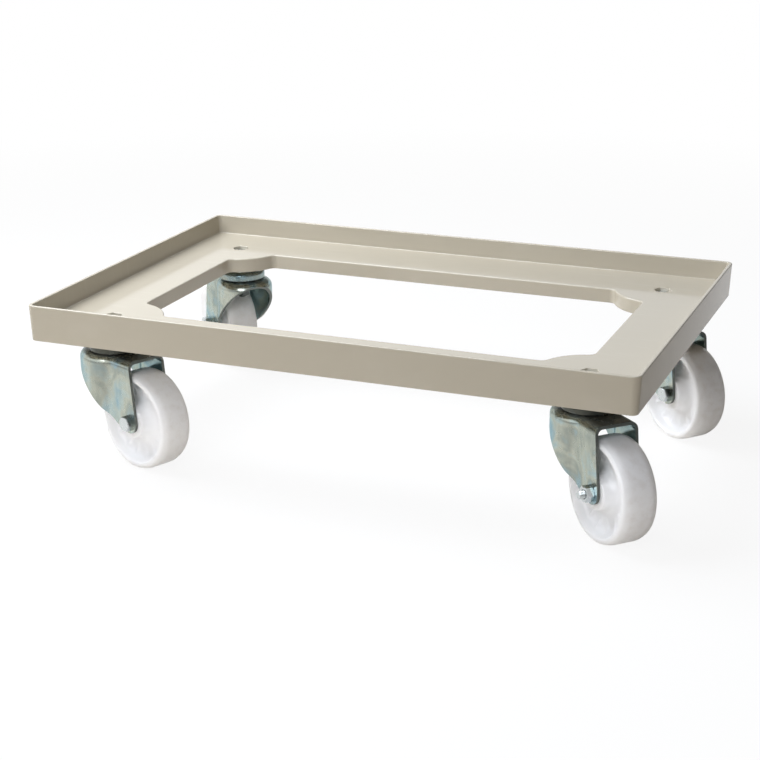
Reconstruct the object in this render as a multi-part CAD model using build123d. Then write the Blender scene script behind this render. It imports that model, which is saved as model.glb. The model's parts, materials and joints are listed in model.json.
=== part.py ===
from build123d import *
import math
import os

os.makedirs("parts", exist_ok=True)

# Millimetres and degrees. The floor is z = 0, and +X runs along the frame.

# Frame moulding
frame_length = 620.0
frame_width = 420.0
frame_height = 36.5
frame_wall = 3.5
corner_radius = 8.0
wall_draft = 2.5
seat_depth = 21.0
seat_floor = 4.0
end_ledge = 67.5
side_ledge = 76.0
castor_inset_x = 61.5
castor_inset_y = 63.5
boss_radius = 51.0
boss_blend = 8.0
boss_core_radius = 22.0
boss_floor = 5.0
rib_thickness = 2.5
rib_setback = 1.5
rib_pitch = 58.0

# Wheel moulding
wheel_radius = 50.0
wheel_width = 36.0
hub_radius = 17.0
hub_stand = 1.0
web_thickness = 13.0
rim_thickness = 6.0
rim_slope = 4.0
shoulder_drop = 2.5
shoulder_length = 6.0

# Fork pressing
sheet = 3.0
trail = 45.7
crown_clearance = 11.0
head_flare = 9.5
head_lead = 6.5
neck_radius = 14.0
crown_bevel = 5.0
sweep_reach = 44.0
sweep_slope = 18.0
sweep_radius = 90.0
trailing_slope = 7.0
leg_below_axle = 10.5
leg_behind_axle = 11.0
tip_radius = 10.5

# Swivel head
head_height = 19.5
upper_ball = 6.4
lower_ball = 5.0
king_wall = 3.5
king_neck_step = 1.5
king_flange_radius = 14.0
king_flange = 2.5
cap_radius = 26.5
cap_pad_radius = 16.0
cap_sheet = 2.5
cup_radius = 22.0
cup_sheet = 2.5
cup_rim = 2.5

# Bolts and nuts
mounting_thread = 12.0
mounting_hex = 19.0
mounting_head = 7.5
mounting_nut_height = 7.0
axle_thread = 10.0
axle_hex = 17.0
axle_head = 6.4
axle_nut_height = 8.0
mounting_bolt_end = 2.0
axle_bolt_end = 5.0
axle_sleeve_wall = 2.4

# Clearances
wheel_fit = 0.06
sleeve_fit = 0.1
hole_fit = 0.25
thread_fit = 0.05
hub_side_gap = 0.5
pocket_gap = 0.2
king_gap = 0.3
cap_gap = 1.5
ball_gap = 0.3

# Each castor's corner of the frame, the way it trails as the dolly stands, from +X towards +Y,
# and how far its axle bolt is turned about from the usual side
castors = {
    "front_left": (-1, -1, -22.6, 0),
    "front_right": (1, -1, -43.7, 180),
    "rear_left": (-1, 1, 141.5, 0),
    "rear_right": (1, 1, -41.0, 0),
}

# Levels above the floor
crown_under = 2 * wheel_radius + crown_clearance
crown_top = crown_under + sheet
frame_bottom = crown_top + head_height
frame_top = frame_bottom + frame_height
seat_top = frame_top - seat_depth
seat_under = seat_top - seat_floor
pocket_bottom = frame_bottom + boss_floor

# Plan of the frame
castor_x = frame_length / 2 - castor_inset_x
castor_y = frame_width / 2 - castor_inset_y
castor_points = [(castor[0] * castor_x, castor[1] * castor_y) for castor in castors.values()]
inner_length = frame_length - 2 * frame_wall
inner_width = frame_width - 2 * frame_wall
opening_length = inner_length - 2 * end_ledge
opening_width = inner_width - 2 * side_ledge


def at(points, z, shape):
    """The shape set down at each plan point, at one level."""
    return [Pos(x, y, z) * shape for x, y in points]


def turned(points):
    """A ring about Z, turned from its half section of (radius, height) points."""
    section = make_face(Polyline(*points, close=True))
    return revolve(Plane.XZ * section, Axis.Z)


def hexagon(across_flats, height):
    """A hexagonal prism that stands on z = 0."""
    face = RegularPolygon(across_flats / 2, 6, major_radius=False)
    return extrude(face, height)


# Frame: a block that leans in towards its bottom edge, with the seat sunk into it


def sunk(length, width, depth, radius):
    """A block that hangs from the rim's level, with leaning sides and round upright edges."""
    top = Pos(0, 0, frame_top) * Rectangle(length, width)
    body = extrude(top, depth, dir=(0, 0, -1), taper=wall_draft)
    uprights = body.edges() - body.edges().filter_by(Plane.XY)
    return fillet(uprights, radius)


block = sunk(frame_length, frame_width, frame_height, corner_radius)
recess = sunk(inner_length, inner_width, seat_depth, corner_radius - frame_wall)

# The open centre, with a round boss standing into each of its corners
opening_plan = Rectangle(opening_length, opening_width)
opening_plan -= at(castor_points, 0, Circle(boss_radius))
opening_plan = fillet(opening_plan.vertices(), boss_blend)
opening = extrude(Pos(0, 0, frame_bottom) * opening_plan, frame_height)

# The hollow underside, with a core under each bolt and a lattice of ribs left standing in it
wall_lean = frame_height * math.tan(math.radians(wall_draft))
under_length = inner_length - 2 * wall_lean
under_width = inner_width - 2 * wall_lean
under_depth = seat_under - frame_bottom
under_plan = Rectangle(under_length, under_width) - offset(opening_plan, frame_wall)
hollow = extrude(Pos(0, 0, frame_bottom) * under_plan, under_depth)
hollow -= at(castor_points, frame_bottom, extrude(Circle(boss_core_radius), under_depth))

rib_level = frame_bottom + rib_setback
long_rib = extrude(Rectangle(under_length, rib_thickness), under_depth - rib_setback)
cross_rib = extrude(Rectangle(rib_thickness, under_width), under_depth - rib_setback)
side_rib_y = (under_width + opening_width) / 4
end_rib_x = (under_length + opening_length) / 4
side_bays = math.ceil(2 * castor_x / rib_pitch)
end_bays = math.ceil(2 * castor_y / rib_pitch)
cross_rib_x = [castor_x * (2 * n / side_bays - 1) for n in range(side_bays + 1)]
long_rib_y = [castor_y * (2 * n / end_bays - 1) for n in range(end_bays + 1)]
cross_rib_x += [end_rib_x, -end_rib_x]
long_rib_y += [side_rib_y, -side_rib_y]
hollow -= at([(x, 0) for x in cross_rib_x], rib_level, cross_rib)
hollow -= at([(0, y) for y in long_rib_y], rib_level, long_rib)

# A hexagonal pocket and a hole for each mounting bolt
pocket = hexagon(mounting_hex + 2 * pocket_gap, seat_top - pocket_bottom)
bolt_hole = extrude(Circle(mounting_thread / 2 + hole_fit), boss_floor)
frame = block - recess - opening - hollow
frame -= at(castor_points, pocket_bottom, pocket)
frame -= at(castor_points, frame_bottom, bolt_hole)

# Swivel head, turned about the mounting bolt: cap over the upper balls, cup under the lower ones
king_bore_radius = mounting_thread / 2 + hole_fit
king_radius = king_bore_radius + king_wall
king_neck = king_radius - king_neck_step
cap_under = frame_bottom - cap_sheet
cap_skirt_end = crown_top + cap_gap
cap_race = crown_top + upper_ball + 2 * ball_gap
cap_shoulder = cap_race + cap_sheet
cap = turned([
    (king_neck + thread_fit, frame_bottom),
    (cap_pad_radius, frame_bottom),
    (cap_pad_radius + cap_sheet, cap_shoulder),
    (cap_radius - cap_sheet, cap_shoulder),
    (cap_radius, cap_race),
    (cap_radius, cap_skirt_end),
    (cap_radius - cap_sheet, cap_skirt_end),
    (cap_radius - cap_sheet, cap_race),
    (cap_pad_radius, cap_race),
    (cap_pad_radius - cap_sheet, cap_under),
    (king_neck + thread_fit, cap_under),
])

cup_race = crown_under - lower_ball - 2 * ball_gap
cup_under = cup_race - cup_sheet
cup = turned([
    (king_radius + thread_fit, cup_under),
    (cup_radius - cup_sheet, cup_under),
    (cup_radius, cup_race),
    (cup_radius, cup_race + cup_rim),
    (cup_radius - cup_sheet, cup_race + cup_rim),
    (cup_radius - cup_sheet, cup_race),
    (king_radius + thread_fit, cup_race),
])

king_foot = cup_under - king_flange
king = turned([
    (king_bore_radius, king_foot),
    (king_flange_radius, king_foot),
    (king_flange_radius, cup_under),
    (king_radius, cup_under),
    (king_radius, cap_under),
    (king_neck, cap_under),
    (king_neck, frame_bottom),
    (king_bore_radius, frame_bottom),
])

# Mounting bolt, down through the frame and the king sleeve, and its nut
nut_under = king_foot - mounting_nut_height
shank_end = nut_under - mounting_bolt_end
mounting_bolt = Pos(0, 0, pocket_bottom) * hexagon(mounting_hex, mounting_head)
mounting_bolt += Pos(0, 0, shank_end) * extrude(Circle(mounting_thread / 2), pocket_bottom - shank_end)
mounting_nut = hexagon(mounting_hex, mounting_nut_height)
mounting_nut -= extrude(Circle(mounting_thread / 2 + thread_fit), mounting_nut_height)
mounting_nut = Pos(0, 0, nut_under) * mounting_nut

# Wheel, turned about its axle: hub, dished web, sloped rim and shoulders down from the tread
sleeve_bore = axle_thread / 2 + sleeve_fit
sleeve_radius = sleeve_bore + axle_sleeve_wall
face_half = wheel_width / 2
web_half = web_thickness / 2
hub_half = face_half + hub_stand
rim_inner = wheel_radius - rim_thickness
half_section = [
    (sleeve_radius + wheel_fit, hub_half),
    (hub_radius, hub_half),
    (hub_radius, web_half),
    (rim_inner - rim_slope, web_half),
    (rim_inner, face_half),
    (wheel_radius - shoulder_drop, face_half),
    (wheel_radius, face_half - shoulder_length),
]
other_half = [(radius, -width) for radius, width in reversed(half_section)]
axle_line = Pos(trail, 0, wheel_radius) * Rot(90, 0, 0)
wheel = axle_line * turned(half_section + other_half)

# Fork: a drawn sheet cup with a round head and two flat legs, trimmed to the swept side outline
fork_inner = hub_half + hub_side_gap
fork_outer = fork_inner + sheet
head_half_width = fork_outer + head_flare
head_nose = head_lead + head_half_width
leg_reach = 2 * (trail + wheel_radius)


def cup_body(inset, top, bevel):
    """The cup drawn in by the inset on all sides, from the floor to its top, with a bevelled upper edge."""
    head_plan = Pos(-head_lead, 0) * Circle(head_half_width - inset)
    leg_plan = Rectangle(leg_reach, 2 * (fork_outer - inset), align=(Align.MIN, Align.CENTER))
    plan = head_plan + leg_plan
    flare_middle = fork_outer + head_flare / 2 - inset
    on_legs = plan.vertices().filter_by(lambda vertex: abs(vertex.Y) < flare_middle)
    necks = on_legs.group_by(Axis.X)[0]
    body = extrude(fillet(necks, neck_radius + inset), top)
    return chamfer(body.faces().sort_by(Axis.Z)[-1].edges(), bevel)


# The side outline is what lies above the raked nose and the sweep, and ahead of the trailing edge
above = Rectangle(2 * leg_reach, leg_reach, align=(Align.CENTER, Align.MIN))
ahead = Rectangle(leg_reach, 2 * leg_reach, align=(Align.MAX, Align.CENTER))
axle_point = Pos(trail, wheel_radius)
elbow = (axle_point * Rot(0, 0, -sweep_slope) * Pos(-sweep_reach, -leg_below_axle)).position
rake = math.degrees(math.atan2(crown_under - elbow.Y, elbow.X + head_nose))
outline = Pos(-head_nose, 0) * Rectangle(leg_reach, crown_top, align=(Align.MIN, Align.MIN))
outline &= Pos(-head_nose, crown_under) * Rot(0, 0, -rake) * above
outline &= axle_point * Rot(0, 0, -sweep_slope) * Pos(0, -leg_below_axle) * above
outline &= axle_point * Rot(0, 0, trailing_slope) * Pos(leg_behind_axle, 0) * ahead
outline = fillet(outline.vertices().sort_by(Axis.Y)[1], sweep_radius)
outline = fillet(outline.vertices().sort_by(Axis.Y)[0], tip_radius)
side_cutter = extrude(Plane.XZ * outline, head_half_width, both=True)

# The inner bevel keeps the sheet's thickness round the bend
inner_bevel = crown_bevel - sheet * (2 - math.sqrt(2))
fork = cup_body(0, crown_top, crown_bevel) & side_cutter
fork -= cup_body(sheet, crown_under, inner_bevel)
fork -= Pos(0, 0, crown_under) * extrude(Circle(king_radius + king_gap), sheet)
fork -= axle_line * extrude(Circle(axle_thread / 2 + hole_fit), fork_outer, both=True)

# Axle: the bolt's head is on one leg, its nut on the other, and a sleeve spaces the legs
axle_end = -fork_outer - axle_nut_height - axle_bolt_end
axle_bolt = Pos(0, 0, fork_outer) * hexagon(axle_hex, axle_head)
axle_bolt += Pos(0, 0, axle_end) * extrude(Circle(axle_thread / 2), fork_outer - axle_end)
axle_nut = hexagon(axle_hex, axle_nut_height)
axle_nut -= extrude(Circle(axle_thread / 2 + thread_fit), axle_nut_height)
axle_nut = Pos(0, 0, -fork_outer - axle_nut_height) * axle_nut
axle_sleeve = extrude(Circle(sleeve_radius) - Circle(sleeve_bore), fork_inner, both=True)

# One file for each piece: like pieces that are fixed to the frame share one, and each castor has its own
frame_pieces = {
    "swivel_caps": cap,
    "king_sleeves": king,
    "lower_race_cups": cup,
    "mounting_bolts": mounting_bolt,
    "mounting_nuts": mounting_nut,
}
castor_pieces = {
    "fork": fork,
    "wheel": wheel,
    "axle_sleeve": axle_line * axle_sleeve,
}
axle_pieces = {
    "axle_bolt": axle_bolt,
    "axle_nut": axle_nut,
}
export_step(frame, "parts/frame.step")
for name, piece in frame_pieces.items():
    export_step(Compound(children=at(castor_points, 0, piece)), f"parts/{name}.step")
for castor, (side_x, side_y, angle, bolt_turn) in castors.items():
    place = Pos(side_x * castor_x, side_y * castor_y, 0) * Rot(0, 0, angle)
    for name, piece in castor_pieces.items():
        export_step(place * piece, f"parts/{castor}_{name}.step")
    for name, piece in axle_pieces.items():
        export_step(place * axle_line * Rot(bolt_turn, 0, 0) * piece, f"parts/{castor}_{name}.step")
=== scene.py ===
import json
import math

import bmesh
import bpy
from mathutils import Matrix, Vector


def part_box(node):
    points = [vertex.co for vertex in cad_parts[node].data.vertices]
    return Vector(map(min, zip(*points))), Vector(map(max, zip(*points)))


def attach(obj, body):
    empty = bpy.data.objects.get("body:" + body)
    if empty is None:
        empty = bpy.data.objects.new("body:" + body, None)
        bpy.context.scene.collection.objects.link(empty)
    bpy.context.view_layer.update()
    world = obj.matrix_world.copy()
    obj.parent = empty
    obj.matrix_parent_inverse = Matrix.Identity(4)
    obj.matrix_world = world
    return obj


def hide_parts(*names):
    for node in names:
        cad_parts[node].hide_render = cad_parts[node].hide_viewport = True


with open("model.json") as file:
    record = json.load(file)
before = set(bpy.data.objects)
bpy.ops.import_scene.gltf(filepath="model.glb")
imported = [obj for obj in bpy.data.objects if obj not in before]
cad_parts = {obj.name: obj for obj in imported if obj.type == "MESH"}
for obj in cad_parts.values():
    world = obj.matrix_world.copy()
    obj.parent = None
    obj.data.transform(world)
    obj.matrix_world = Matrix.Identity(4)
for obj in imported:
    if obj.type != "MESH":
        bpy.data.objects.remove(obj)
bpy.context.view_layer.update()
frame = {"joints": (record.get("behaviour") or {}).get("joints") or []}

# Tray frame: one injection moulding in grey-beige polypropylene. A raised rim runs round a flat seat,
# the centre is open, and the hollow underside is stiffened by a lattice of thin ribs.
MM = 0.001
frame_low, frame_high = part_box("frame")
half_length, half_width, rim_top = frame_high
frame_bottom = frame_low.z
joints = {joint["name"]: joint for joint in frame["joints"]}
castors = ["front_left", "front_right", "rear_left", "rear_right"]
swivels = {castor: Vector(joints[castor + "_swivel"]["pos_m"]) for castor in castors}
castor_x, castor_y = swivels["rear_right"].xy

frame_wall = 3.5 * MM
frame_corner = 8 * MM
least_corner = MM
wall_lean = math.tan(math.radians(2.5))
seat_drop = 21 * MM
seat_thickness = 4 * MM
seat_level = rim_top - seat_drop
seat_under = seat_level - seat_thickness
end_ledge = 67.5 * MM
side_ledge = 76 * MM
boss_radius = 51 * MM
boss_blend = 8 * MM
boss_core_radius = 22 * MM
boss_floor = 5 * MM
pocket_level = frame_bottom + boss_floor
pocket_hex = 16.4 * MM
bolt_hole_radius = 6.25 * MM
rib_thickness = 2.5 * MM
rib_setback = 1.5 * MM
rib_pitch = 58 * MM
seat_fillet = MM
rim_round = 1.1 * MM
foot_round = 0.8 * MM
opening_round = 1.6 * MM
pocket_round = 0.4 * MM
flat_margin = 0.4 * MM
corner_steps = 8
boss_steps = 16
core_points = 64
level_tolerance = 0.001 * MM


def arc(centre, radius, start, end, count):
    """Plan points on an arc, its angles in radians."""
    angles = [start + (end - start) * step / count for step in range(count + 1)]
    return [(centre[0] + radius * math.cos(a), centre[1] + radius * math.sin(a)) for a in angles]


def rounded(corners, steps=5):
    """A section's (across, up, radius) corners as points, each an arc with a short flat on either side."""
    points = []
    for index, (across, up, radius) in enumerate(corners):
        if radius == 0:
            points.append((across, up))
            continue
        here = Vector((across, up))
        back = (Vector(corners[index - 1][:2]) - here).normalized()
        ahead = (Vector(corners[(index + 1) % len(corners)][:2]) - here).normalized()
        half = back.angle(ahead) / 2
        reach = radius / math.tan(half)
        centre = here + (back + ahead).normalized() * radius / math.sin(half)
        first = here + back * reach - centre
        turn = math.pi - 2 * half
        side = 1 if back.cross(ahead) < 0 else -1
        points.append(tuple(here + back * (reach + flat_margin)))
        for step in range(steps + 1):
            spoke = first.copy()
            spoke.rotate(Matrix.Rotation(side * turn * step / steps, 2))
            points.append(tuple(centre + spoke))
        points.append(tuple(here + ahead * (reach + flat_margin)))
    return points


def rim_loop(inset, level):
    """The rim's rounded rectangle, drawn in by an inset."""
    radius = max(frame_corner - inset, least_corner)
    x, y = half_length - inset - radius, half_width - inset - radius
    plan = []
    for turn, corner in enumerate([(x, y), (-x, y), (-x, -y), (x, -y)]):
        plan += arc(corner, radius, turn * math.pi / 2, (turn + 1) * math.pi / 2, corner_steps)
    return [(px, py, level) for px, py in plan]


def opening_loop(outset, level):
    """The open centre's outline with its four bosses, moved out into the moulding by an outset."""
    x = half_length - frame_wall - end_ledge
    y = half_width - frame_wall - side_ledge
    reach = boss_radius + boss_blend
    side_fillet = (x - boss_blend, castor_y - math.sqrt(reach ** 2 - (castor_x - x + boss_blend) ** 2))
    end_fillet = (castor_x - math.sqrt(reach ** 2 - (castor_y - y + boss_blend) ** 2), y - boss_blend)
    to_side = math.atan2(castor_y - side_fillet[1], castor_x - side_fillet[0])
    to_end = math.atan2(castor_y - end_fillet[1], castor_x - end_fillet[0])
    quarter = arc(side_fillet, boss_blend + outset, 0, to_side, corner_steps)
    boss_start, boss_end = to_side + math.pi, to_end + math.pi
    boss = arc((castor_x, castor_y), boss_radius - outset, boss_start, boss_end, boss_steps)
    quarter += boss[1:-1] + arc(end_fillet, boss_blend + outset, to_end, math.pi / 2, corner_steps)
    mirrored = [(-px, py) for px, py in reversed(quarter)]
    upper = quarter + mirrored
    lower = [(-px, -py) for px, py in upper]
    return [(px, py, level) for px, py in upper + lower]


def band(bm, loops, close=False):
    """Skins a row of closed loops, each with as many points as the last."""
    rings = [[bm.verts.new(point) for point in loop] for loop in loops]
    pairs = list(zip(rings, rings[1:])) + ([(rings[-1], rings[0])] if close else [])
    for lower, upper in pairs:
        for index in range(len(lower)):
            after = (index + 1) % len(lower)
            bm.faces.new((lower[index], lower[after], upper[after], upper[index]))
    return rings


def capped(bm, loops):
    """Skins a row of closed loops and closes both ends."""
    rings = band(bm, loops)
    bm.faces.new(rings[0])
    bm.faces.new(rings[-1])


def fill_flat(bm, level):
    """Closes the open edges that lie at one level."""
    rim = []
    for edge in bm.edges:
        off_level = max(abs(vertex.co.z - level) for vertex in edge.verts)
        if edge.is_boundary and off_level < level_tolerance:
            rim.append(edge)
    bmesh.ops.triangle_fill(bm, use_beauty=True, edges=rim)


def made(name, bm):
    """A new object from a bmesh, with its faces turned outward."""
    bmesh.ops.recalc_face_normals(bm, faces=bm.faces)
    mesh = bpy.data.meshes.new(name)
    bm.to_mesh(mesh)
    bm.free()
    piece = bpy.data.objects.new(name, mesh)
    bpy.context.scene.collection.objects.link(piece)
    return piece


def combine(body, tool, operation, crossing=False):
    """Cuts away another solid, or keeps only what lies in it. That solid is used up."""
    step = body.modifiers.new("combine", "BOOLEAN")
    step.object = tool
    step.operation = operation
    step.solver = "EXACT"
    step.use_self = crossing
    step.material_mode = "INDEX"
    graph = bpy.context.evaluated_depsgraph_get()
    mesh = bpy.data.meshes.new_from_object(body.evaluated_get(graph))
    body.modifiers.clear()
    body.data = mesh
    bpy.data.objects.remove(tool)


def smooth(piece, crease=32):
    """Smooth shading, broken at edges sharper than the crease in degrees."""
    piece.data.shade_smooth()
    piece.data.set_sharp_from_angle(angle=math.radians(crease))


bottom_inset = (rim_top - frame_bottom) * wall_lean
seat_inset = frame_wall + (rim_top - seat_level) * wall_lean
rim_section = rounded([
    (seat_inset + 2 * seat_fillet, seat_level, 0),
    (seat_inset, seat_level, seat_fillet),
    (frame_wall, rim_top, rim_round),
    (0, rim_top, rim_round),
    (bottom_inset, frame_bottom, foot_round),
    (bottom_inset + frame_wall, frame_bottom, 0),
])
opening_section = rounded([
    (2 * opening_round, seat_level, 0),
    (0, seat_level, opening_round),
    (0, frame_bottom, foot_round),
    (frame_wall, frame_bottom, 0),
])
bm = bmesh.new()
band(bm, [rim_loop(inset, level) for inset, level in rim_section])
band(bm, [opening_loop(outset, level) for outset, level in opening_section])
fill_flat(bm, seat_level)
fill_flat(bm, frame_bottom)
tray = made("tray_frame", bm)

# The hollow underside is cut out as one block, with the ribs and the bolts' cores taken out of it first
overcut = MM
under_inset = bottom_inset + frame_wall
bm = bmesh.new()
hollow_levels = (frame_bottom - overcut, seat_under)
band(bm, [rim_loop(under_inset, level) for level in hollow_levels])
band(bm, [opening_loop(frame_wall, level) for level in hollow_levels])
for level in hollow_levels:
    fill_flat(bm, level)
hollow = made("hollow", bm)

rib_low, rib_high = frame_bottom + rib_setback, seat_under + overcut
side_bays = math.ceil(2 * castor_x / rib_pitch)
end_bays = math.ceil(2 * castor_y / rib_pitch)
cross_ribs = [castor_x * (2 * n / side_bays - 1) for n in range(side_bays + 1)]
long_ribs = [castor_y * (2 * n / end_bays - 1) for n in range(end_bays + 1)]
end_rib = (half_length - under_inset + half_length - frame_wall - end_ledge) / 2
side_rib = (half_width - under_inset + half_width - frame_wall - side_ledge) / 2
cross_ribs += [end_rib, -end_rib]
long_ribs += [side_rib, -side_rib]
rib_places = [((x, 0), (rib_thickness, 2 * half_width)) for x in cross_ribs]
rib_places += [((0, y), (2 * half_length, rib_thickness)) for y in long_ribs]
bm = bmesh.new()
for (x, y), (length, width) in rib_places:
    place = Matrix.Translation((x, y, (rib_low + rib_high) / 2))
    size = Matrix.Diagonal((length, width, rib_high - rib_low, 1))
    bmesh.ops.create_cube(bm, size=1, matrix=place @ size)
for x, y, z in swivels.values():
    core = Matrix.Translation((x, y, (frame_bottom + rib_high) / 2))
    depth = 4 * overcut + rib_high - frame_bottom
    bmesh.ops.create_cone(bm, cap_ends=True, segments=core_points, radius1=boss_core_radius,
                          radius2=boss_core_radius, depth=depth, matrix=core)
combine(hollow, made("ribs", bm), "DIFFERENCE", crossing=True)
combine(tray, hollow, "DIFFERENCE")

# A hexagonal pocket for each bolt's head goes down into its boss, with a round hole on through the floor
hex_side_points = 12
round_points = 6 * hex_side_points


def hexagon(across_flats, level):
    """A hexagon's points, flats facing +Y and -Y, with the same number along each side."""
    corner = across_flats / math.sqrt(3)
    angles = [n * math.pi / 3 for n in range(7)]
    ends = [Vector((corner * math.cos(a), corner * math.sin(a))) for a in angles]
    points = []
    for start, end in zip(ends, ends[1:]):
        points += [(*start.lerp(end, step / hex_side_points), level) for step in range(hex_side_points)]
    return points


def circle(radius, level, count=round_points):
    """A circle's points about Z."""
    return [(x, y, level) for x, y in arc((0, 0), radius, 0, 2 * math.pi, count)[:-1]]


bm = bmesh.new()
pocket = [
    circle(bolt_hole_radius, frame_bottom - overcut),
    circle(bolt_hole_radius, pocket_level),
    hexagon(pocket_hex, pocket_level),
    hexagon(pocket_hex, seat_level - pocket_round),
    hexagon(pocket_hex + 2 * pocket_round, seat_level),
    hexagon(pocket_hex + 2 * pocket_round, seat_level + overcut),
]
for x, y, z in swivels.values():
    capped(bm, [[(px + x, py + y, pz) for px, py, pz in loop] for loop in pocket])
combine(tray, made("pockets", bm), "DIFFERENCE")
smooth(tray)


def add_node(tree, kind, inputs=None, **settings):
    """Adds a shader node, sets its properties, and sets or links its inputs by name or number."""
    node = tree.nodes.new(kind)
    for name, value in settings.items():
        setattr(node, name, value)
    for name, value in (inputs or {}).items():
        if isinstance(value, bpy.types.NodeSocket):
            tree.links.new(value, node.inputs[name])
        else:
            node.inputs[name].default_value = value
    return node


def paint(hex_colour):
    """An sRGB hex colour as linear RGBA."""
    channels = [int(hex_colour[place:place + 2], 16) / 255 for place in (1, 3, 5)]
    return (*[c / 12.92 if c <= 0.04045 else ((c + 0.055) / 1.055) ** 2.4 for c in channels], 1)


def new_material(name):
    """An empty material and its node tree."""
    material = bpy.data.materials.new(name)
    material.use_nodes = True
    material.node_tree.nodes.clear()
    return material, material.node_tree


def per_mm(size):
    """A texture's scale for a pattern of one size in millimetres."""
    return 1 / (size * MM)


# Moulded polypropylene: semi-gloss, so the rim shows in the seat. Slow sink waves bend the reflections
# a little, boxes have left faint rubbed streaks, and the spark grain is drawn coarser than life to show.
polypropylene, tree = new_material("moulded_polypropylene")
place = add_node(tree, "ShaderNodeTexCoord").outputs["Object"]
grain = add_node(tree, "ShaderNodeTexNoise", {"Vector": place, "Scale": per_mm(0.8), "Detail": 3.0})
sink = add_node(tree, "ShaderNodeTexNoise", {"Vector": place, "Scale": per_mm(70), "Detail": 1.0})
cloud = add_node(tree, "ShaderNodeTexNoise", {"Vector": place, "Scale": per_mm(150), "Detail": 3.0})
stretch = add_node(tree, "ShaderNodeMapping",
                   {"Vector": place, "Rotation": (0, 0, 0.5), "Scale": (1, 14, 1)})
streak = add_node(tree, "ShaderNodeTexNoise",
                  {"Vector": stretch.outputs[0], "Scale": per_mm(60), "Detail": 6.0})
rubbed = add_node(tree, "ShaderNodeMapRange",
                  {"Value": streak.outputs[0], "From Min": 0.58, "From Max": 0.74,
                   "To Min": 0.0, "To Max": 0.06})
tone = add_node(tree, "ShaderNodeMix",
                {"Factor": cloud.outputs[0], 6: paint("#B1A998"), 7: paint("#B8B09F")},
                data_type="RGBA")
colour = add_node(tree, "ShaderNodeMix",
                  {"Factor": rubbed.outputs[0], 6: tone.outputs[2], 7: paint("#DAD5CA")},
                  data_type="RGBA")
gloss = add_node(tree, "ShaderNodeMapRange",
                 {"Value": cloud.outputs[0], "From Min": 0.3, "From Max": 0.7,
                  "To Min": 0.09, "To Max": 0.13})
dulled = add_node(tree, "ShaderNodeMath", {0: rubbed.outputs[0], 1: gloss.outputs[0]}, operation="ADD")
waves = add_node(tree, "ShaderNodeBump",
                 {"Height": sink.outputs[0], "Strength": 0.25, "Distance": 0.4 * MM})
skin = add_node(tree, "ShaderNodeBump",
                {"Height": grain.outputs[0], "Strength": 0.05, "Distance": 0.06 * MM,
                 "Normal": waves.outputs[0]})
shader = add_node(tree, "ShaderNodeBsdfPrincipled",
                  {"Base Color": colour.outputs[2], "Roughness": dulled.outputs[0], "IOR": 1.49,
                   "Normal": skin.outputs[0]})
add_node(tree, "ShaderNodeOutputMaterial", {"Surface": shader.outputs[0]})
tray.data.materials.clear()
tray.data.materials.append(polypropylene)
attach(tray, "dolly_frame")
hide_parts("frame")

# Swivel heads: a pressed zinc-plated cap is clamped under each boss and runs on a ring of steel balls.
# A second ring runs in the cup below the fork's crown, and a hollow king sleeve is riveted over the stack.
cap_low, cap_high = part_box("swivel_caps")
cup_low, cup_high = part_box("lower_race_cups")
king_low, king_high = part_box("king_sleeves")
sheet = 3 * MM
crown_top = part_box("front_left_fork")[1].z
crown_under = crown_top - sheet
upper_ball = 6.4 * MM
lower_ball = 5 * MM
ball_gap = 0.3 * MM
king_radius = 9.75 * MM
king_neck = 8.25 * MM
king_bore = 6.25 * MM
king_flange_radius = 14 * MM
king_flange = 2.5 * MM
race_fit = 0.05 * MM
cap_radius = 26.5 * MM
cap_pad_radius = 16 * MM
race_sheet = 2.5 * MM
cup_radius = 22 * MM
cap_race = crown_top + upper_ball + 2 * ball_gap
cup_race = crown_under - lower_ball - 2 * ball_gap
cap_under = cap_high.z - race_sheet
press_round = 1.2 * MM
edge_round = 0.35 * MM
ball_points = 14
ball_rings = 8
# Painted shade under the frame: how dark the crown's top and the cap are painted, and the castor painted
# least
most_crown_shade = 0.85
least_crown_shade = 0.25
least_shaded_castor = "rear_left"


def turned(name, section, count=round_points):
    """A ring about Z from its closed section."""
    bm = bmesh.new()
    band(bm, [circle(radius, level, count) for radius, level in section], close=True)
    piece = made(name, bm)
    smooth(piece)
    return piece


def placed(shape, name, place, copy, body, slot, *nodes):
    """Sets a numbered copy of a shape in its place. Its points keep their place on the piece."""
    mesh = shape.data.copy()
    mesh.name = name
    spots = [0.0] * (3 * len(mesh.vertices))
    mesh.vertices.foreach_get("co", spots)
    mesh.attributes.new("on_piece", "FLOAT_VECTOR", "POINT").data.foreach_set("vector", spots)
    numbers = [float(copy)] * len(mesh.vertices)
    mesh.attributes.new("copy", "FLOAT", "POINT").data.foreach_set("value", numbers)
    mesh.transform(place)
    piece = bpy.data.objects.new(name, mesh)
    bpy.context.scene.collection.objects.link(piece)
    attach(piece, body)
    if nodes:
        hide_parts(*nodes)


cap = turned("cap", rounded([
    (king_neck + race_fit, cap_high.z, edge_round),
    (cap_pad_radius, cap_high.z, press_round),
    (cap_pad_radius + race_sheet, cap_race + race_sheet, press_round / 2),
    (cap_radius, cap_race + race_sheet, 2 * press_round),
    (cap_radius, cap_low.z, edge_round),
    (cap_radius - race_sheet, cap_low.z, edge_round),
    (cap_radius - race_sheet, cap_race, edge_round),
    (cap_pad_radius, cap_race, press_round),
    (cap_pad_radius - race_sheet, cap_under, edge_round),
    (king_neck + race_fit, cap_under, edge_round),
]))
cup = turned("cup", rounded([
    (king_radius + race_fit, cup_low.z, edge_round),
    (cup_radius, cup_low.z, 2 * press_round),
    (cup_radius, cup_high.z, edge_round),
    (cup_radius - race_sheet, cup_high.z, edge_round),
    (cup_radius - race_sheet, cup_race, edge_round),
    (king_radius + race_fit, cup_race, edge_round),
]))
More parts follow.
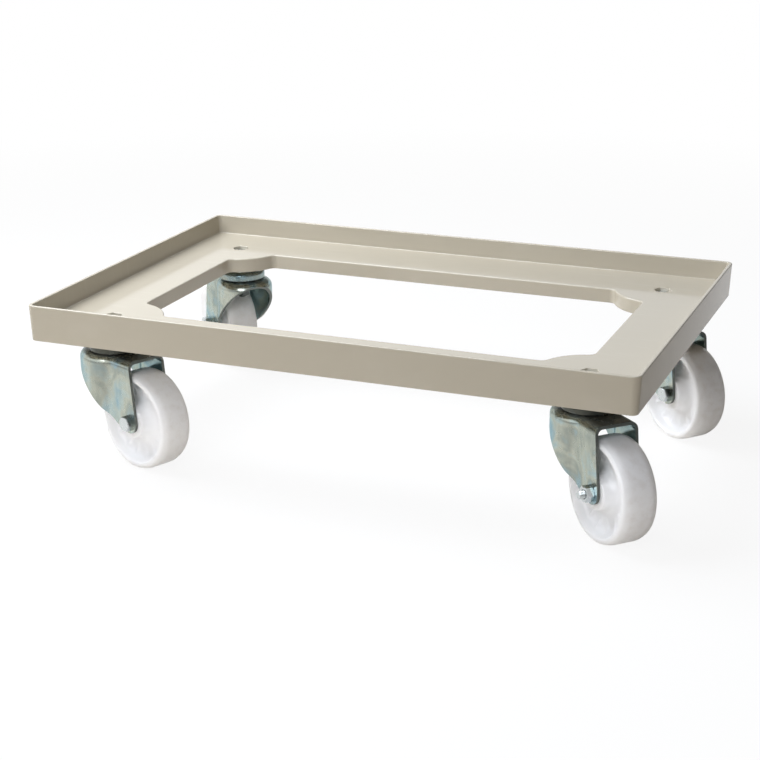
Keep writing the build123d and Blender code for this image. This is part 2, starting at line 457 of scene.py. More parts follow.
king = turned("king", rounded([
    (king_bore, king_low.z, edge_round),
    (king_flange_radius, king_low.z, press_round),
    (king_flange_radius, king_low.z + king_flange, edge_round),
    (king_radius, king_low.z + king_flange, edge_round),
    (king_radius, cap_under, edge_round),
    (king_neck, cap_under, edge_round),
    (king_neck, king_high.z, edge_round),
    (king_bore, king_high.z, edge_round),
]))
upper_row = (cap_pad_radius + cap_radius - race_sheet) / 2
lower_row = (king_radius + cup_radius - race_sheet) / 2
ball_rows = [
    (upper_row, crown_top + ball_gap + upper_ball / 2, upper_ball),
    (lower_row, cup_race + ball_gap + lower_ball / 2, lower_ball),
]
bm = bmesh.new()
for row_radius, level, ball in ball_rows:
    count = int(2 * math.pi * row_radius / (ball + 2 * ball_gap))
    for x, y, z in circle(row_radius, level, count):
        spot = Matrix.Translation((x, y, z))
        bmesh.ops.create_uvsphere(bm, u_segments=ball_points, v_segments=ball_rings, radius=ball / 2,
                                  matrix=spot)
balls = made("balls", bm)
smooth(balls, crease=60)


def zinc_plate(name, tints, least_dull, most_dull):
    """Zinc plate on rolled sheet, whose grain is drawn coarser than life. The passivation leaves thin-film
    clouds of several tints and drain streaks. Painted shade, a dark matt tone, covers the crown's top and
    the cap under the frame, and one castor has less of it."""
    material, tree = new_material(name)
    place = add_node(tree, "ShaderNodeAttribute", attribute_name="on_piece").outputs["Vector"]
    copy = add_node(tree, "ShaderNodeAttribute", attribute_name="copy").outputs["Fac"]
    batch = add_node(tree, "ShaderNodeMath", {0: copy, 1: 1.7}, operation="MULTIPLY").outputs[0]
    film = add_node(tree, "ShaderNodeTexNoise",
                    {"Vector": place, "W": batch, "Scale": per_mm(30), "Detail": 3.0, "Distortion": 0.6},
                    noise_dimensions="4D")
    spangle = add_node(tree, "ShaderNodeTexNoise",
                       {"Vector": place, "W": batch, "Scale": per_mm(11), "Detail": 4.0},
                       noise_dimensions="4D")
    hung = add_node(tree, "ShaderNodeMapping", {"Vector": place, "Scale": (1, 1, 0.2)})
    drain = add_node(tree, "ShaderNodeTexNoise",
                     {"Vector": hung.outputs[0], "W": batch, "Scale": per_mm(5), "Detail": 3.0},
                     noise_dimensions="4D")
    rolled = add_node(tree, "ShaderNodeTexNoise", {"Vector": place, "Scale": per_mm(1.4), "Detail": 3.0})
    tint = add_node(tree, "ShaderNodeValToRGB", {"Fac": film.outputs[0]})
    stops = tint.color_ramp.elements
    while len(stops) < len(tints):
        stops.new(1.0)
    for stop, (spot, hex_colour) in zip(stops, tints):
        stop.position = spot
    for stop, (spot, hex_colour) in zip(stops, tints):
        stop.color = paint(hex_colour)
    marks = add_node(tree, "ShaderNodeMath", {0: spangle.outputs[0], 1: drain.outputs[0]}, operation="ADD")
    shade = add_node(tree, "ShaderNodeMapRange",
                     {"Value": marks.outputs[0], "From Min": 0.6, "From Max": 1.4,
                      "To Min": 0.8, "To Max": 1.06})
    plate = add_node(tree, "ShaderNodeMix", {"Factor": 1.0, 6: tint.outputs[0], 7: shade.outputs[0]},
                     data_type="RGBA", blend_type="MULTIPLY")
    level = add_node(tree, "ShaderNodeSeparateXYZ", {0: place}).outputs[2]
    # Painted shade: from the crown's top upward the plate turns to a dark matt tone with no metal, and the
    # rear left castor gets the least of it
    is_least_shaded = add_node(tree, "ShaderNodeMath", {0: copy, 1: castors.index(least_shaded_castor), 2: 0.5},
                        operation="COMPARE")
    crown_shade_amount = add_node(tree, "ShaderNodeMath",
                              {0: is_least_shaded.outputs[0], 1: least_crown_shade - most_crown_shade, 2: most_crown_shade},
                              operation="MULTIPLY_ADD")
    crown_shade = add_node(tree, "ShaderNodeMapRange",
                         {"Value": level, "From Min": crown_under, "From Max": crown_top,
                          "To Min": 0.0, "To Max": crown_shade_amount.outputs[0]})
    crown_shaded_plate = add_node(tree, "ShaderNodeMix",
                       {"Factor": crown_shade.outputs[0], 6: plate.outputs[2], 7: paint("#3B3930")},
                       data_type="RGBA")
    unshaded_metal = add_node(tree, "ShaderNodeMath", {0: 1.0, 1: crown_shade.outputs[0]}, operation="SUBTRACT")
    dull = add_node(tree, "ShaderNodeMapRange",
                    {"Value": spangle.outputs[0], "From Min": 0.3, "From Max": 0.7,
                     "To Min": least_dull, "To Max": most_dull})
    peel = add_node(tree, "ShaderNodeBump",
                    {"Height": rolled.outputs[0], "Strength": 0.12, "Distance": 0.05 * MM})
    shader = add_node(tree, "ShaderNodeBsdfPrincipled",
                      {"Base Color": crown_shaded_plate.outputs[2], "Roughness": dull.outputs[0],
                       "Metallic": unshaded_metal.outputs[0], "Specular Tint": paint("#D8E6EA"),
                       "Normal": peel.outputs[0]})
    add_node(tree, "ShaderNodeOutputMaterial", {"Surface": shader.outputs[0]})
    return material


# Zinc-plated sheet steel: a satin metal, pale green-grey with olive, straw and ice-blue clouds
zinc = zinc_plate("zinc_plated_sheet_steel", [
    (0.30, "#9FBAC3"), (0.42, "#BAC7C2"), (0.50, "#BFC3B6"), (0.58, "#A9B0A7"), (0.70, "#A0BAC3"),
], least_dull=0.18, most_dull=0.32)

# Ground bearing steel: bright and nearly smooth, with light running marks, drawn coarse enough to show
bearing_steel, tree = new_material("ground_bearing_steel")
place = add_node(tree, "ShaderNodeAttribute", attribute_name="on_piece").outputs["Vector"]
marks = add_node(tree, "ShaderNodeTexNoise", {"Vector": place, "Scale": per_mm(1.0), "Detail": 4.0})
dull = add_node(tree, "ShaderNodeMapRange",
                {"Value": marks.outputs[0], "From Min": 0.3, "From Max": 0.7,
                 "To Min": 0.12, "To Max": 0.28})
tone = add_node(tree, "ShaderNodeMix",
                {"Factor": marks.outputs[0], 6: paint("#9C9C9A"), 7: paint("#BDBDBB")},
                data_type="RGBA")
shader = add_node(tree, "ShaderNodeBsdfPrincipled",
                  {"Base Color": tone.outputs[2], "Roughness": dull.outputs[0], "Metallic": 1.0})
add_node(tree, "ShaderNodeOutputMaterial", {"Surface": shader.outputs[0]})

for shape, material in ((cap, zinc), (cup, zinc), (king, zinc), (balls, bearing_steel)):
    shape.data.materials.append(material)
for copy, castor in enumerate(castors):
    axis = Matrix.Translation((*swivels[castor].xy, 0))
    placed(cap, castor + "_swivel_cap", axis, copy, "dolly_frame", "zinc_steel", "swivel_caps")
    placed(cup, castor + "_race_cup", axis, copy, "dolly_frame", "zinc_steel", "lower_race_cups")
    placed(king, castor + "_king_sleeve", axis, copy, "dolly_frame", "zinc_steel", "king_sleeves")
    placed(balls, castor + "_balls", axis, copy, "dolly_frame", "bolt_steel")
for shape in (cap, cup, king, balls):
    bpy.data.objects.remove(shape)

# Mounting bolts and nuts: an M10 hex bolt drops into each pocket of the seat, goes down through the king
# sleeve, and is pulled up by a thin hex nut under the crown. Both are cold formed and zinc plated.
mounting_thread = 10 * MM
mounting_pitch = 1.5 * MM
mounting_hex = 16 * MM
bolt_low, bolt_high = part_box("mounting_bolts")
nut_low, nut_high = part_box("mounting_nuts")
corner_slope = math.tan(math.radians(30))
thread_fit = 0.05 * MM
turned_share = 0.475
bore_chamfer_share = 0.06
thread_depth_share = 0.61
loops_per_turn = 6
# Painted shade on the fasteners: its darkest share, the share left on the lower sides, and where it starts
# and is full along the up direction
darkest_fastener_shade = 0.9
fastener_shade_below = 0.2
fastener_shade_starts = -3 * MM
fastener_shade_full = MM


def corner_cut(across_flats, end, way):
    """A hexagon's points at one end, its corners turned off to a cone."""
    flat_radius = turned_share * across_flats
    cut = []
    for x, y, z in hexagon(across_flats, end):
        cut.append((x, y, end - way * max(0, math.hypot(x, y) - flat_radius) * corner_slope))
    return cut


def hex_bolt(name, across_flats, top, under, thread, pitch, thread_start, end):
    """A hex bolt about Z as one skin: a head, a plain shank and a thread down to a chamfered end."""
    radius = thread / 2
    depth = thread_depth_share * pitch
    flat_radius = turned_share * across_flats
    loops = [circle(flat_radius, top), corner_cut(across_flats, top, 1), hexagon(across_flats, under)]
    loops += [circle(radius, under), circle(radius, under - flat_margin), circle(radius, thread_start)]
    steps = math.ceil((thread_start - end) / pitch * loops_per_turn)
    for step in range(1, steps + 1):
        level = thread_start + (end - thread_start) * step / steps
        run_out = radius - depth + (level - end)
        loop = []
        for x, y, z in circle(1, level):
            turn = (level / pitch - math.atan2(y, x) / (2 * math.pi)) % 1
            reach = min(radius - depth * abs(2 * turn - 1), run_out)
            loop.append((x * reach, y * reach, level))
        loops.append(loop)
    bm = bmesh.new()
    capped(bm, loops)
    piece = made(name, bm)
    smooth(piece, crease=28)
    return piece


def hex_nut(name, across_flats, low, high, bore):
    """A hex nut about Z with both ends turned and its bore chamfered."""
    flat_radius = turned_share * across_flats
    chamfer = bore_chamfer_share * across_flats
    bm = bmesh.new()
    band(bm, [
        circle(flat_radius, low), corner_cut(across_flats, low, -1),
        corner_cut(across_flats, high, 1), circle(flat_radius, high),
        circle(bore + chamfer, high), circle(bore, high - chamfer),
        circle(bore, low + chamfer), circle(bore + chamfer, low),
    ], close=True)
    piece = made(name, bm)
    smooth(piece, crease=28)
    return piece


def fastener_steel(name, seat, clear, up):
    """Zinc plate on cold-formed steel: bright and bluish, with forming marks drawn coarser than life.
    Painted shade darkens the upper sides, from the seat's distance along the axis out to where it is clear."""
    material, tree = new_material(name)
    place = add_node(tree, "ShaderNodeAttribute", attribute_name="on_piece").outputs["Vector"]
    marks = add_node(tree, "ShaderNodeTexNoise", {"Vector": place, "Scale": per_mm(5), "Detail": 4.0})
    fine = add_node(tree, "ShaderNodeTexNoise", {"Vector": place, "Scale": per_mm(0.7), "Detail": 2.0})
    plate = add_node(tree, "ShaderNodeMix",
                     {"Factor": marks.outputs[0], 6: paint("#C2C9CB"), 7: paint("#DCE0E1")},
                     data_type="RGBA")
    along = add_node(tree, "ShaderNodeSeparateXYZ", {0: place}).outputs[2]
    from_middle = add_node(tree, "ShaderNodeMath", {0: along}, operation="ABSOLUTE")
    shade_by_seat = add_node(tree, "ShaderNodeMapRange",
                       {"Value": from_middle.outputs[0], "From Min": seat, "From Max": clear,
                        "To Min": darkest_fastener_shade, "To Max": 0.0})
    height = add_node(tree, "ShaderNodeVectorMath", {0: place, 1: up}, operation="DOT_PRODUCT")
    upper = add_node(tree, "ShaderNodeMapRange",
                     {"Value": height.outputs["Value"], "From Min": fastener_shade_starts, "From Max": fastener_shade_full,
                      "To Min": fastener_shade_below})
    fastener_shade = add_node(tree, "ShaderNodeMath", {0: shade_by_seat.outputs[0], 1: upper.outputs[0]},
                   operation="MULTIPLY")
    tone = add_node(tree, "ShaderNodeMix",
                    {"Factor": fastener_shade.outputs[0], 6: plate.outputs[2], 7: paint("#2C302B")}, data_type="RGBA")
    dull = add_node(tree, "ShaderNodeMapRange",
                    {"Value": marks.outputs[0], "From Min": 0.3, "From Max": 0.7,
                     "To Min": 0.16, "To Max": 0.30})
    forming = add_node(tree, "ShaderNodeBump",
                       {"Height": fine.outputs[0], "Strength": 0.05, "Distance": 0.03 * MM})
    shader = add_node(tree, "ShaderNodeBsdfPrincipled",
                      {"Base Color": tone.outputs[2], "Roughness": dull.outputs[0], "Metallic": 1.0,
                       "Normal": forming.outputs[0]})
    add_node(tree, "ShaderNodeOutputMaterial", {"Surface": shader.outputs[0]})
    return material


bolt = hex_bolt("bolt", mounting_hex, bolt_high.z, pocket_level, mounting_thread, mounting_pitch,
                nut_high.z + mounting_pitch, bolt_low.z)
nut = hex_nut("nut", mounting_hex, nut_low.z, nut_high.z, mounting_thread / 2 + thread_fit)
# Painted shade darkens each mounting bolt's head towards the floor of its pocket
mounting_steel = fastener_steel("zinc_plated_mounting_bolt", pocket_level, bolt_high.z, (0, 0, 1))
for shape in (bolt, nut):
    shape.data.materials.append(mounting_steel)
for copy, castor in enumerate(castors):
    axis = Matrix.Translation((*swivels[castor].xy, 0))
    placed(bolt, castor + "_mounting_bolt", axis, copy, "dolly_frame", "bolt_steel", "mounting_bolts")
    placed(nut, castor + "_mounting_nut", axis, copy, "dolly_frame", "bolt_steel", "mounting_nuts")
for shape in (bolt, nut):
    bpy.data.objects.remove(shape)

# Forks: drawn from 3 mm sheet steel as a round-headed cup with two flat legs, trimmed along a swept line
# from the nose to the axle, and zinc plated. Each turns on the balls about its mounting bolt.
trail = (Vector(joints["front_left_spin"]["pos_m"]).xy - swivels["front_left"].xy).length
wheel_radius = joints["front_left_spin"]["pos_m"][2]
wheel_width = 36 * MM
hub_stand = MM
hub_side_gap = 0.5 * MM
face_half = wheel_width / 2
hub_half = face_half + hub_stand
leg_outer = hub_half + hub_side_gap + sheet
head_bulge = 9.5 * MM
head_radius = leg_outer + head_bulge
head_lead = 6.5 * MM
neck_radius = 14 * MM
bend_radius = 8 * MM
sweep_reach = 25 * MM
sweep_slope = math.radians(-18)
sweep_radius = 75 * MM
trailing_slope = math.radians(97)
tip_radius = 10.5 * MM
leg_below_axle = 10.5 * MM
leg_behind_axle = 11 * MM
nose_rise = MM
king_clearance = 0.3 * MM
king_hole = king_radius + king_clearance
axle_hole = 5.25 * MM
trim_margin = 2 * MM
overlong = 4
leg_end = trail + overlong * leg_behind_axle
head_steps = 28
hole_points = 48


def cup_plan(inset, end, level):
    """The cup's plan: two straight legs that open through round necks into a round head."""
    leg, head, neck = leg_outer - inset, head_radius - inset, neck_radius + inset
    neck_u = -head_lead + math.sqrt((head + neck) ** 2 - (leg + neck) ** 2)
    to_neck = math.atan2(leg + neck, neck_u + head_lead)
    half = [(end, leg)]
    half += arc((neck_u, leg + neck), neck, -math.pi / 2, to_neck - math.pi, corner_steps)
    half += arc((-head_lead, 0), head, to_neck, math.pi, head_steps)[1:]
    other = [(u, -w) for u, w in reversed(half[:-1])]
    return [(u, w, level) for u, w in half + other]


def cup_solid(name, inset, top, bend, end, floor):
    """A solid of the cup's plan, with its top edge bent over."""
    bm = bmesh.new()
    levels = [(inset, floor), (inset, top - bend - flat_margin)]
    for step in range(corner_steps + 1):
        lift = math.pi / 2 * step / corner_steps
        levels.append((inset + bend * (1 - math.cos(lift)), top - bend + bend * math.sin(lift)))
    levels.append((inset + bend + flat_margin, top))
    capped(bm, [cup_plan(draw, end, level) for draw, level in levels])
    return made(name, bm)


def meeting(point, angle, other, other_angle):
    """Where two lines in the fork's side view cross."""
    way, other_way = [Vector((math.cos(a), math.sin(a))) for a in (angle, other_angle)]
    reach = (Vector(other) - Vector(point)).cross(other_way) / way.cross(other_way)
    return Vector(point) + way * reach


def bar(name, centre, radius, direction, length):
    """A round bar to cut holes with."""
    bm = bmesh.new()
    turn = Vector((0, 0, 1)).rotation_difference(Vector(direction)).to_matrix().to_4x4()
    bmesh.ops.create_cone(bm, cap_ends=True, segments=hole_points, radius1=radius, radius2=radius,
                          depth=length, matrix=Matrix.Translation(centre) @ turn)
    return made(name, bm)


axle = Vector((trail, wheel_radius))
nose = Vector((-head_lead - head_radius, crown_under + nose_rise))
sweep_way = Vector((math.cos(sweep_slope), math.sin(sweep_slope)))
sweep_point = axle + leg_below_axle * Vector((math.sin(sweep_slope), -math.cos(sweep_slope)))
trailing_point = axle + leg_behind_axle * Vector((math.sin(trailing_slope), -math.cos(trailing_slope)))
elbow = sweep_point - sweep_reach * sweep_way
rake = math.atan2(elbow.y - nose.y, elbow.x - nose.x)
tip = meeting(sweep_point, sweep_slope, trailing_point, trailing_slope)
over_top = crown_top + trim_margin
before_nose = nose.x - trim_margin
rear_top = meeting(trailing_point, trailing_slope, (0, over_top), 0)
front_low = meeting(nose, rake, (before_nose, 0), math.pi / 2)
outline = rounded([
    (before_nose, over_top, 0),
    (*front_low, 0),
    (*elbow, sweep_radius),
    (*tip, tip_radius),
    (*rear_top, 0),
], steps=16)

# The inside of the drawn cup is painted a deeper, darker blue-green: painted shade and dark reflection in
# the hollow
zinc_inside_shaded = zinc_plate("zinc_plated_drawn_inside_shaded", [
    (0.30, "#8CA6AC"), (0.45, "#9FB1B0"), (0.55, "#A9B4A8"), (0.70, "#88A2AB"),
], least_dull=0.16, most_dull=0.28)

# Sheared sheet edge: plated too, but torn across the thickness, so it is rough and streaked; its darker
# tone is painted shade
sheared_edge_shaded, tree = new_material("zinc_plated_sheared_edge_shaded")
place = add_node(tree, "ShaderNodeAttribute", attribute_name="on_piece").outputs["Vector"]
stretch = add_node(tree, "ShaderNodeMapping", {"Vector": place, "Scale": (1, 0.2, 1)})
streak = add_node(tree, "ShaderNodeTexNoise",
                  {"Vector": stretch.outputs[0], "Scale": per_mm(1.5), "Detail": 4.0})
# Painted shade: the edge's tone is set darker than the plate's
tone = add_node(tree, "ShaderNodeMix",
                {"Factor": streak.outputs[0], 6: paint("#565A56"), 7: paint("#868B86")},
                data_type="RGBA")
dull = add_node(tree, "ShaderNodeMapRange",
                {"Value": streak.outputs[0], "From Min": 0.3, "From Max": 0.7,
                 "To Min": 0.4, "To Max": 0.6})
shear = add_node(tree, "ShaderNodeBump",
                 {"Height": streak.outputs[0], "Strength": 0.2, "Distance": 0.05 * MM})
shader = add_node(tree, "ShaderNodeBsdfPrincipled",
                  {"Base Color": tone.outputs[2], "Roughness": dull.outputs[0], "Metallic": 1.0,
                   "Normal": shear.outputs[0]})
add_node(tree, "ShaderNodeOutputMaterial", {"Surface": shader.outputs[0]})
fork_materials = [zinc, sheared_edge_shaded, zinc_inside_shaded]
outer_face, cut_edge, inner_face = range(len(fork_materials))


def plated(piece, index):
    """Gives every face of a solid one of the fork's materials."""
    for material in fork_materials:
        piece.data.materials.append(material)
    for face in piece.data.polygons:
        face.material_index = index
    return piece


# A full cup with overlong legs is trimmed to its side view, hollowed to the sheet's thickness and pierced
pressing = plated(cup_solid("pressing", 0, crown_top, bend_radius, leg_end, 0), outer_face)
bm = bmesh.new()
trim_sides = (-head_radius - trim_margin, head_radius + trim_margin)
capped(bm, [[(u, w, level) for u, level in outline] for w in trim_sides])
combine(pressing, plated(made("trim", bm), cut_edge), "INTERSECT")
inside = cup_solid("inside", sheet, crown_under, bend_radius - sheet, leg_end + trim_margin, -trim_margin)
combine(pressing, plated(inside, inner_face), "DIFFERENCE")
king_bar = bar("king_hole", (0, 0, crown_under), king_hole, (0, 0, 1), overlong * sheet)
combine(pressing, plated(king_bar, cut_edge), "DIFFERENCE")
axle_bar = bar("axle_hole", (trail, 0, wheel_radius), axle_hole, (0, 1, 0), overlong * leg_outer)
combine(pressing, plated(axle_bar, cut_edge), "DIFFERENCE")
smooth(pressing, crease=30)

places = {}
for copy, castor in enumerate(castors):
    spin_axis = Vector(joints[castor + "_spin"]["axis"])
    heading = math.atan2(-spin_axis.x, spin_axis.y)
    places[castor] = Matrix.Translation((*swivels[castor].xy, 0)) @ Matrix.Rotation(heading, 4, "Z")
    placed(pressing, castor + "_pressed_fork", places[castor], copy, castor + "_castor", "zinc_steel",
           castor + "_fork")
bpy.data.objects.remove(pressing)

# Axles: an M8 hex bolt through both legs, with its head on one side and a nut on the other.
# A steel sleeve between the legs carries the wheel, so that the nut can be pulled tight.
axle_thread = 8 * MM
axle_pitch = 1.25 * MM
axle_hex = 14 * MM
axle_head = 6.4 * MM
axle_nut = 8 * MM
axle_end = 5 * MM
sleeve_radius = 7.5 * MM
sleeve_bore = 5.1 * MM
# How much of each axle bolt's head carries the painted shade
head_shaded_share = 0.8
turned_about = {"front_right": math.pi}
axle_frame = Matrix.Translation((trail, 0, wheel_radius)) @ Matrix.Rotation(math.pi / 2, 4, "X")
bolt = hex_bolt("bolt", axle_hex, leg_outer + axle_head, leg_outer, axle_thread, axle_pitch,
                -leg_outer + axle_pitch, -leg_outer - axle_nut - axle_end)
nut = hex_nut("nut", axle_hex, -leg_outer - axle_nut, -leg_outer, axle_thread / 2 + thread_fit)
sleeve_half = leg_outer - sheet
sleeve = turned("sleeve", rounded([
    (sleeve_bore, -sleeve_half, edge_round),
    (sleeve_radius, -sleeve_half, edge_round),
    (sleeve_radius, sleeve_half, edge_round),
    (sleeve_bore, sleeve_half, edge_round),
]))

# Painted shade lies on the sides of the bolts' heads, and the nuts, which stand outside the legs, are clear
# of it
head_shade_start = leg_outer + head_shaded_share * axle_head
axle_steel = fastener_steel("zinc_plated_axle_bolt", head_shade_start, leg_outer + axle_head, (0, 1, 0))
nut_steel = fastener_steel("zinc_plated_axle_nut", 0, leg_outer, (0, 1, 0))
for shape, steel in ((bolt, axle_steel), (nut, nut_steel), (sleeve, nut_steel)):
    shape.data.materials.append(steel)
for copy, castor in enumerate(castors):
    body = castor + "_castor"
    across = places[castor] @ axle_frame
    way = across @ Matrix.Rotation(turned_about.get(castor, 0), 4, "X")
    placed(bolt, castor + "_hex_axle_bolt", way, copy, body, "bolt_steel", castor + "_axle_bolt")
    placed(nut, castor + "_hex_axle_nut", way, copy, body, "bolt_steel", castor + "_axle_nut")
    placed(sleeve, castor + "_spacer_sleeve", across, copy, body, "bolt_steel", castor + "_axle_sleeve")
for shape in (bolt, nut, sleeve):
    bpy.data.objects.remove(shape)

# Wheels: white polyamide mouldings with a hub, a dished and gusseted web, a rounded lip and soft shoulders
# beside the tread. They turn on the axle sleeves.
hub_radius = 17 * MM
web_half = 6.5 * MM
lip_inset = 7 * MM
dish_inset = 11 * MM
lip_radius = wheel_radius - lip_inset
dish_root = wheel_radius - dish_inset
shoulder_drop = 2.5 * MM
shoulder_length = 6 * MM
wheel_fit = 0.06 * MM
wheel_bore = sleeve_radius + wheel_fit
bore_round = 0.6 * MM
hub_round = 1.5 * MM
hub_fillet = 9 * MM
dish_fillet = 8 * MM
lip_round = 1.8 * MM
shoulder_round = 3.6 * MM
tread_round = 14 * MM
wheel_points = 192
half_section = [
    (wheel_bore, hub_half, bore_round),
    (hub_radius, hub_half, hub_round),
    (hub_radius, web_half, hub_fillet),
    (dish_root, web_half, dish_fillet),
    (lip_radius, face_half, lip_round),
    (wheel_radius - shoulder_drop, face_half, shoulder_round),
    (wheel_radius, face_half - shoulder_length, tread_round),
]
section = half_section + [(radius, -across, bend) for radius, across, bend in reversed(half_section)]
wheel = turned("wheel", rounded(section, steps=8), count=wheel_points)

# Small gussets stiffen the corner between web and rim, about 15 mm apart at the root of the dish
gusset_count = 16
gusset_start = 28 * MM
gusset_rise = 5 * MM
gusset_half = 1.8 * MM
gusset_step = 2 * math.pi / gusset_count
for vertex in wheel.data.vertices:
    reach = math.hypot(vertex.co.x, vertex.co.y)
    if gusset_start < reach < lip_radius:
        angle = math.atan2(vertex.co.y, vertex.co.x) - gusset_step / 2
        beside = math.remainder(angle, gusset_step) * reach
        top = web_half + gusset_rise * (reach - gusset_start) / (lip_radius - gusset_start)
        lift = max(0, top - abs(vertex.co.z)) * math.exp(-(beside / gusset_half) ** 2)
        vertex.co.z += math.copysign(lift, vertex.co.z)

# Moulded polyamide: milky white and satin, a little light passing in, with a faint grey rub round the tread
# and a moulding grain drawn coarser than life
rub_depth = 2 * MM
polyamide, tree = new_material("moulded_white_polyamide")
place = add_node(tree, "ShaderNodeAttribute", attribute_name="on_piece").outputs["Vector"]
copy = add_node(tree, "ShaderNodeAttribute", attribute_name="copy").outputs["Fac"]
flat_place = add_node(tree, "ShaderNodeVectorMath", {0: place, 1: (1, 1, 0)}, operation="MULTIPLY")
radius = add_node(tree, "ShaderNodeVectorMath", {0: flat_place.outputs[0]}, operation="LENGTH")
tread = add_node(tree, "ShaderNodeMapRange",
                 {"Value": radius.outputs["Value"], "From Min": wheel_radius - rub_depth,
                  "From Max": wheel_radius})
rub = add_node(tree, "ShaderNodeTexNoise",
               {"Vector": place, "W": copy, "Scale": per_mm(9), "Detail": 6.0, "Roughness": 0.65},
               noise_dimensions="4D")
rub_spots = add_node(tree, "ShaderNodeMapRange",
                     {"Value": rub.outputs[0], "From Min": 0.45, "From Max": 0.75,
                      "To Min": 0.0, "To Max": 0.35})
rubbed = add_node(tree, "ShaderNodeMath", {0: tread.outputs[0], 1: rub_spots.outputs[0]},
                  operation="MULTIPLY")
cloud = add_node(tree, "ShaderNodeTexNoise", {"Vector": place, "Scale": per_mm(40), "Detail": 3.0})
milk = add_node(tree, "ShaderNodeMix",
                {"Factor": cloud.outputs[0], 6: paint("#F4F4F7"), 7: paint("#FAFAFB")},
                data_type="RGBA")
colour = add_node(tree, "ShaderNodeMix",
                  {"Factor": rubbed.outputs[0], 6: milk.outputs[2], 7: paint("#CFC8BE")},
                  data_type="RGBA")
gloss = add_node(tree, "ShaderNodeMapRange",
                 {"Value": rub.outputs[0], "From Min": 0.3, "From Max": 0.7, "To Min": 0.28, "To Max": 0.4})
grain = add_node(tree, "ShaderNodeTexNoise", {"Vector": place, "Scale": per_mm(0.9), "Detail": 2.0})
skin = add_node(tree, "ShaderNodeBump",
                {"Height": grain.outputs[0], "Strength": 0.06, "Distance": 0.06 * MM})
shader = add_node(tree, "ShaderNodeBsdfPrincipled",
                  {"Base Color": colour.outputs[2], "Roughness": gloss.outputs[0], "IOR": 1.53,
                   "Subsurface Weight": 0.85, "Subsurface Radius": (1, 1, 1), "Subsurface Scale": 9 * MM,
                   "Normal": skin.outputs[0]})
add_node(tree, "ShaderNodeOutputMaterial", {"Surface": shader.outputs[0]})
wheel.data.materials.append(polyamide)
for copy, castor in enumerate(castors):
    placed(wheel, castor + "_moulded_wheel", places[castor] @ axle_frame, copy, castor + "_roller",
           "wheel_plastic", castor + "_wheel")
bpy.data.objects.remove(wheel)

# Studio: white paper that keeps a soft shadow, a surround that is bright on the left and dim on the right,
# one soft lamp above the left side and one in front, and the camera of the product view.
floor_size = 30
bm = bmesh.new()
bmesh.ops.create_grid(bm, x_segments=1, y_segments=1, size=floor_size / 2)
floor = made("studio_floor", bm)


def background_rays(tree):
    """Marks the rays that see the background from the camera, and those that mirror it or pass it on."""
    path = add_node(tree, "ShaderNodeLightPath").outputs
    mirrored = add_node(tree, "ShaderNodeMath", {0: path["Is Glossy Ray"], 1: path["Is Transmission Ray"]},
                        operation="MAXIMUM")
    return path["Is Camera Ray"], mirrored.outputs[0]


bright_side = (-1, 0.1, 0)
dim_glow = 0.3
paper, tree = new_material("white_studio_paper")
seen, mirrored = background_rays(tree)
place = add_node(tree, "ShaderNodeTexCoord").outputs["Object"]
side = add_node(tree, "ShaderNodeVectorMath", {0: place, 1: bright_side}, operation="DOT_PRODUCT")
glow = add_node(tree, "ShaderNodeMapRange",
                {"Value": side.outputs["Value"], "From Min": -0.5, "From Max": -0.15,
                 "To Min": dim_glow, "To Max": 1.0})
depth = add_node(tree, "ShaderNodeSeparateXYZ", {0: place}).outputs[1]
front_glow = add_node(tree, "ShaderNodeMapRange",
                      {"Value": depth, "From Min": -0.58, "From Max": -0.28,
                       "To Min": dim_glow, "To Max": 1.0})
glow = add_node(tree, "ShaderNodeMath", {0: glow.outputs[0], 1: front_glow.outputs[0]},
                operation="MULTIPLY")
strength = add_node(tree, "ShaderNodeMix", {"Factor": seen, "A": glow.outputs[0], "B": 1.0},
                    data_type="FLOAT")
tone = add_node(tree, "ShaderNodeMix", {"Factor": seen, 6: paint("#F0E8DD"), 7: paint("#FAFAFA")},
                data_type="RGBA")
passed_on = add_node(tree, "ShaderNodeMath", {0: mirrored, 1: 0.85}, operation="MULTIPLY")
away = add_node(tree, "ShaderNodeVectorMath", {0: place}, operation="LENGTH").outputs["Value"]
white = add_node(tree, "ShaderNodeMapRange",
                 {"Value": away, "From Min": 0.5, "From Max": 1.8, "To Min": 0.9, "To Max": 1.0})
share = add_node(tree, "ShaderNodeMath", {0: seen, 1: white.outputs[0], 2: passed_on.outputs[0]},
                 operation="MULTIPLY_ADD")
matt = add_node(tree, "ShaderNodeBsdfDiffuse", {"Color": tone.outputs[2]})
lit = add_node(tree, "ShaderNodeEmission", {"Strength": strength.outputs[0]})
mixed = add_node(tree, "ShaderNodeMixShader", {0: share.outputs[0], 1: matt.outputs[0], 2: lit.outputs[0]})
add_node(tree, "ShaderNodeOutputMaterial", {"Surface": mixed.outputs[0]})
floor.data.materials.append(paper)

world = bpy.data.worlds.new("studio")
world.use_nodes = True
tree = world.node_tree
tree.nodes.clear()
seen, mirrored = background_rays(tree)
around = add_node(tree, "ShaderNodeTexCoord").outputs["Generated"]
side = add_node(tree, "ShaderNodeVectorMath", {0: around, 1: bright_side}, operation="DOT_PRODUCT")
glow = add_node(tree, "ShaderNodeMapRange",
                {"Value": side.outputs["Value"], "From Min": -0.6, "From Max": 0.0,
                 "To Min": dim_glow, "To Max": 1.0})
fill = add_node(tree, "ShaderNodeMapRange",
                {"Value": side.outputs["Value"], "From Min": -1.0, "From Max": 0.5,
                 "To Min": 0.08, "To Max": 0.04})
shown = add_node(tree, "ShaderNodeMath", {0: seen, 1: mirrored}, operation="MAXIMUM")
around_glow = add_node(tree, "ShaderNodeMix",
                       {"Factor": mirrored, "A": fill.outputs[0], "B": glow.outputs[0]},
                       data_type="FLOAT")
strength = add_node(tree, "ShaderNodeMix", {"Factor": seen, "A": around_glow.outputs[0], "B": 1.0},
                    data_type="FLOAT")
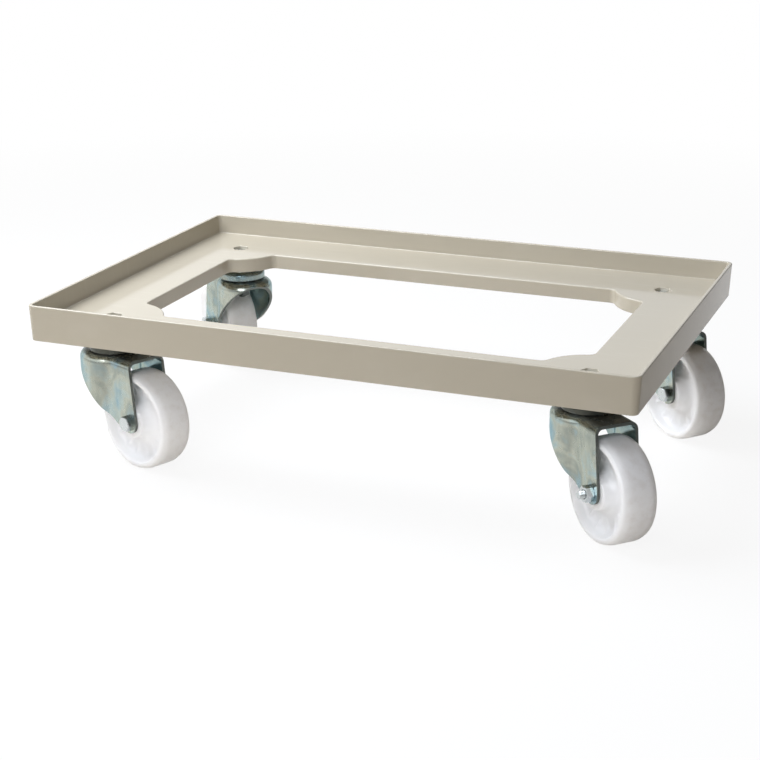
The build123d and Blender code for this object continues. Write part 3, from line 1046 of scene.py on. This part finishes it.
tone = add_node(tree, "ShaderNodeMix", {"Factor": shown.outputs[0], 6: paint("#FFEBD2"), 7: (1, 1, 1, 1)},
                data_type="RGBA")
sky = add_node(tree, "ShaderNodeBackground", {"Color": tone.outputs[2], "Strength": strength.outputs[0]})
add_node(tree, "ShaderNodeOutputWorld", {"Surface": sky.outputs[0]})
bpy.context.scene.world = world

# Each lamp's place, what it looks at, the width of its round diffuser in metres, and its power
lamps = {
    "overhead_left": ((-0.64, -0.08, 1.1), (0, 0, 0.1), 1.2, 27.5),
    "front": ((0.05, -1.8, 1.05), (0, 0, 0.1), 1.2, 16.5),
}
for name, (spot, target, width, power) in lamps.items():
    lamp = bpy.data.lights.new(name, "AREA")
    lamp.shape = "DISK"
    lamp.size = width
    lamp.energy = power
    lamp.color = paint("#F2F7FF")[:3]
    holder = bpy.data.objects.new(name, lamp)
    bpy.context.scene.collection.objects.link(holder)
    holder.location = spot
    holder.rotation_euler = (Vector(target) - Vector(spot)).to_track_quat("-Z", "Y").to_euler()

# The camera's place and angles, solved from the corners of the frame
azimuth = math.radians(21.828)
elevation = math.radians(19.341)
roll = math.radians(-0.187)
camera_spot = (0.62713, -1.60692, 0.64810)
image_width = 760
focal_pixels = 1728.8
centre_drop_pixels = 19
back = Vector((math.sin(azimuth) * math.cos(elevation), -math.cos(azimuth) * math.cos(elevation),
               math.sin(elevation)))
right = (-back).cross(Vector((0, 0, 1))).normalized()
up = back.cross(right)
level_right = math.cos(roll) * right + math.sin(roll) * up
level_up = math.cos(roll) * up - math.sin(roll) * right
camera = bpy.data.cameras.new("product_view")
camera.sensor_width = 36
camera.lens = camera.sensor_width * focal_pixels / image_width
camera.shift_y = centre_drop_pixels / image_width
viewer = bpy.data.objects.new("product_view", camera)
bpy.context.scene.collection.objects.link(viewer)
facing = Matrix((level_right, level_up, back)).transposed().to_4x4()
viewer.matrix_world = Matrix.Translation(camera_spot) @ facing
bpy.context.scene.camera = viewer
bpy.context.scene.view_settings.view_transform = "Standard"
